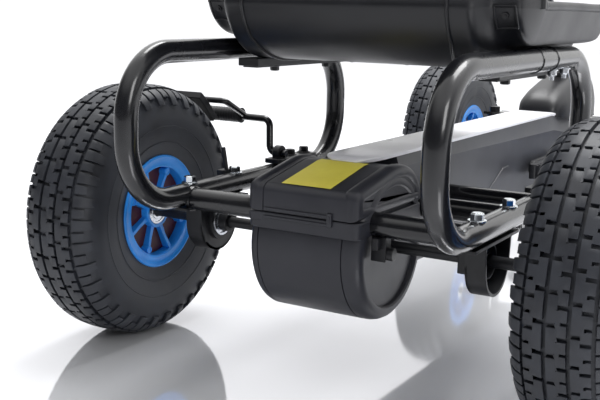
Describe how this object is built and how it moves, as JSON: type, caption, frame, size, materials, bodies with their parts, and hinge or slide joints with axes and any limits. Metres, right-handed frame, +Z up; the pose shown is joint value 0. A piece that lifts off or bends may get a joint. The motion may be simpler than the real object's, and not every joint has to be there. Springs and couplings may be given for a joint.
{
  "type": "pedal go kart",
  "caption": "Child's chain-driven pedal go kart with a bent-tube frame, bucket seat, wheel steering, hand brake and block-tread pneumatic tyres.",
  "frame": {"origin": "on the ground, under the centre of the kart's box", "axes": "+X to the driver's right, +Y forward, +Z up"},
  "size_m": [0.5824, 1.2099, 0.6118],
  "materials": {
    "tube_paint": "gloss black stove enamel on steel tube",
    "black_steel": "satin black plated steel",
    "zinc_steel": "bright zinc-plated steel",
    "case_plastic": "satin black moulded plastic",
    "spine_plastic": "dark grey moulded plastic",
    "cover_plastic": "white-grey moulded plastic",
    "wheel_plastic": "blue moulded plastic",
    "seat_plastic": "satin black moulded plastic",
    "pedal_plastic": "ribbed black plastic",
    "tyre_rubber": "black tyre rubber with a block tread",
    "moulded_rubber": "ribbed black rubber"
  },
  "bodies": {
    "frame": {"axle_bearing_left": "zinc_steel", "axle_bearing_right": "zinc_steel", "axle_hanger_left": "black_steel", "axle_hanger_right": "black_steel", "chain_case_left": "spine_plastic", "chain_case_right": "spine_plastic", "clamp_bolt_left_1": "black_steel", "clamp_bolt_left_2": "black_steel", "clamp_bolt_right_1": "black_steel", "clamp_bolt_right_2": "black_steel", "drive_chain": "zinc_steel", "front_axle": "tube_paint", "front_bumper": "tube_paint", "front_crossbar": "tube_paint", "gear_case": "case_plastic", "gear_case_lid": "case_plastic", "hanger_bolt_left_1": "zinc_steel", "hanger_bolt_left_2": "zinc_steel", "hanger_bolt_right_1": "zinc_steel", "hanger_bolt_right_2": "zinc_steel", "loop_clamp_left": "black_steel", "loop_clamp_right": "black_steel", "loop_front_left": "tube_paint", "loop_front_right": "tube_paint", "loop_rear_left": "tube_paint", "loop_rear_right": "tube_paint", "main_beam": "black_steel", "middle_crossbar": "tube_paint", "rear_crossbar": "tube_paint", "seat_rail_left": "black_steel", "seat_rail_right": "black_steel", "spine_cover": "cover_plastic", "steering_tower": "black_steel"},
    "rear_axle": {"rear_axle": "zinc_steel", "rear_sprocket": "zinc_steel", "tyre_rear_right": "tyre_rubber", "hub_rear_right": "wheel_plastic"},
    "rear_left_wheel": {"tyre_rear_left": "tyre_rubber", "hub_rear_left": "wheel_plastic"},
    "crank": {"crank_shaft": "zinc_steel", "crank_sprocket": "zinc_steel", "crank_arm_left": "black_steel", "crank_arm_right": "black_steel"},
    "left_pedal": {"pedal_left": "pedal_plastic"},
    "right_pedal": {"pedal_right": "pedal_plastic"},
    "seat": {"seat_shell": "seat_plastic"},
    "steering": {"steering_column": "tube_paint", "steering_wheel": "moulded_rubber"},
    "left_knuckle": {"knuckle_left": "black_steel"},
    "right_knuckle": {"knuckle_right": "black_steel"},
    "front_left_wheel": {"tyre_front_left": "tyre_rubber", "hub_front_left": "wheel_plastic"},
    "front_right_wheel": {"tyre_front_right": "tyre_rubber", "hub_front_right": "wheel_plastic"},
    "left_tie_rod": {"tie_rod_left": "black_steel"},
    "right_tie_rod": {"tie_rod_right": "black_steel"},
    "brake": {"brake_lever": "tube_paint", "brake_grip": "moulded_rubber", "brake_pad": "moulded_rubber"}
  },
  "joints": [
    {"name": "rear_axle_spin", "type": "hinge", "parent": "frame", "child": "rear_axle", "pos_m": [0, -0.4635, 0.132], "axis": [-1, 0, 0], "continuous": true},
    {"name": "rear_left_wheel_spin", "type": "hinge", "parent": "frame", "child": "rear_left_wheel", "pos_m": [-0.2487, -0.4635, 0.132], "axis": [-1, 0, 0], "continuous": true},
    {"name": "crank_spin", "type": "hinge", "parent": "frame", "child": "crank", "pos_m": [0, 0.0965, 0.146], "axis": [-1, 0, 0], "continuous": true},
    {"name": "left_pedal_spin", "type": "hinge", "parent": "crank", "child": "left_pedal", "pos_m": [-0.0776, 0.1965, 0.146], "axis": [-1, 0, 0], "continuous": true},
    {"name": "right_pedal_spin", "type": "hinge", "parent": "crank", "child": "right_pedal", "pos_m": [0.0776, -0.0035, 0.146], "axis": [-1, 0, 0], "continuous": true},
    {"name": "seat_slide", "type": "slide", "parent": "frame", "child": "seat", "axis": [0, 1, 0], "range_m": [0, 0.06]},
    {"name": "steering_turn", "type": "hinge", "parent": "frame", "child": "steering", "pos_m": [0, 0.3102, 0.1814], "axis": [0, -0.6947, 0.7193], "range_deg": [-27.5, 27.5]},
    {"name": "left_knuckle_turn", "type": "hinge", "parent": "frame", "child": "left_knuckle", "pos_m": [-0.135, 0.3205, 0.15], "axis": [0, 0, 1], "range_deg": [-22, 22]},
    {"name": "right_knuckle_turn", "type": "hinge", "parent": "frame", "child": "right_knuckle", "pos_m": [0.135, 0.3205, 0.15], "axis": [0, 0, 1], "range_deg": [-22, 22]},
    {"name": "left_tie_rod_swing", "type": "hinge", "parent": "left_knuckle", "child": "left_tie_rod", "pos_m": [-0.135, 0.3705, 0.1773], "axis": [0, 0, 1], "range_deg": [-22, 22]},
    {"name": "right_tie_rod_swing", "type": "hinge", "parent": "right_knuckle", "child": "right_tie_rod", "pos_m": [0.135, 0.3705, 0.1773], "axis": [0, 0, 1], "range_deg": [-22, 22]},
    {"name": "front_left_wheel_spin", "type": "hinge", "parent": "left_knuckle", "child": "front_left_wheel", "pos_m": [-0.208, 0.3205, 0.132], "axis": [-1, 0, 0], "continuous": true},
    {"name": "front_right_wheel_spin", "type": "hinge", "parent": "right_knuckle", "child": "front_right_wheel", "pos_m": [0.208, 0.3205, 0.132], "axis": [-1, 0, 0], "continuous": true},
    {"name": "brake_pull", "type": "hinge", "parent": "frame", "child": "brake", "pos_m": [-0.1495, -0.3335, 0.185], "axis": [1, 0, 0], "range_deg": [0, 6], "stiffness_Nm_per_rad": 3, "springref_deg": -5.73}
  ],
  "couplings": [
    {"joint": "crank_spin", "follows": "rear_axle_spin", "ratio": 0.63636},
    {"joint": "left_knuckle_turn", "follows": "steering_turn", "ratio": 0.8},
    {"joint": "right_knuckle_turn", "follows": "steering_turn", "ratio": 0.8},
    {"joint": "left_tie_rod_swing", "follows": "steering_turn", "ratio": -0.8},
    {"joint": "right_tie_rod_swing", "follows": "steering_turn", "ratio": -0.8}
  ]
}
